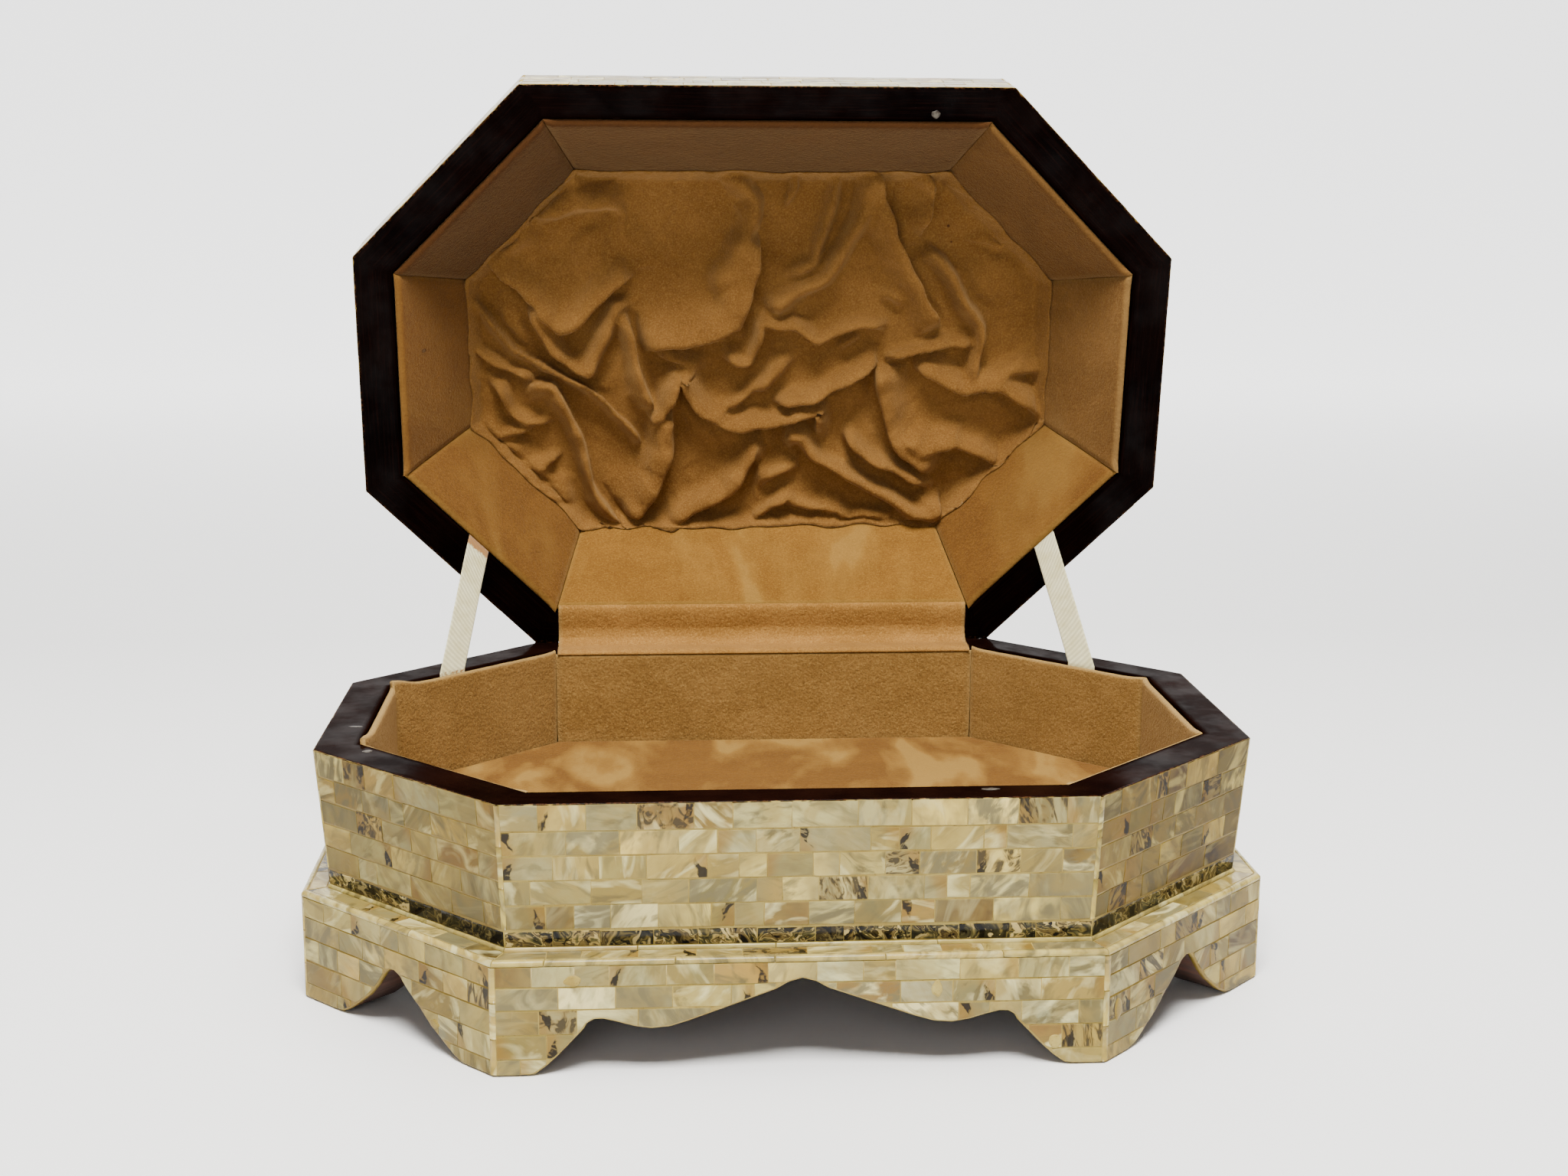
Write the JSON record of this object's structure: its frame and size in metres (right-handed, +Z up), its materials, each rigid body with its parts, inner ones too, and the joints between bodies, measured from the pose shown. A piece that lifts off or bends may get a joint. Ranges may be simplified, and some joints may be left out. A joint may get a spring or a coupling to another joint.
{
  "type": "shell box",
  "caption": "Octagonal casket clad in shell tiles on a scalloped plinth, its hinged lid held open by ribbon stays, lined with suede.",
  "frame": {"origin": "on the surface it stands on, midway across its width and midway between the front of the plinth and the back of the open lid", "axes": "+Z up, +X along the hinge to the right seen from the front, +Y from the front to the hinge"},
  "size_m": [0.4, 0.339, 0.3808],
  "materials": {
    "shell": "glossy lacquer over mother-of-pearl tiles",
    "abalone": "glossy lacquer over dark abalone tiles",
    "varnished_wood": "dark glossy varnish with brush marks",
    "suede": "tan suede nap",
    "ribbon": "off-white woven ribbon",
    "brass": "plain"
  },
  "bodies": {
    "box": {"plinth_frame": "varnished_wood", "plinth_apron_shell": "shell", "plinth_ledge_shell": "shell", "box_carcass": "varnished_wood", "box_shell": "shell", "box_band": "abalone", "box_lining_front": "suede", "box_lining_front_right": "suede", "box_lining_right": "suede", "box_lining_back_right": "suede", "box_lining_back": "suede", "box_lining_back_left": "suede", "box_lining_left": "suede", "box_lining_front_left": "suede", "box_floor_pad": "suede", "hinge_box_leaf_left": "brass", "hinge_box_leaf_right": "brass", "hinge_strip": "suede", "ribbon_stay_left": "ribbon", "ribbon_stay_right": "ribbon"},
    "lid": {"lid_carcass": "varnished_wood", "lid_shell": "shell", "lid_lining_front": "suede", "lid_lining_front_right": "suede", "lid_lining_right": "suede", "lid_lining_back_right": "suede", "lid_lining_back": "suede", "lid_lining_back_left": "suede", "lid_lining_left": "suede", "lid_lining_front_left": "suede", "lid_gathered_panel": "suede", "hinge_lid_leaf_left": "brass", "hinge_lid_leaf_right": "brass"}
  },
  "joints": [
    {"name": "lid_hinge", "type": "hinge", "parent": "box", "child": "lid", "pos_m": [0, 0.11002, 0.10515], "axis": [1, 0, 0], "range_deg": [0, 81], "deforming": ["hinge_strip", "ribbon_stay_left", "ribbon_stay_right"]}
  ]
}
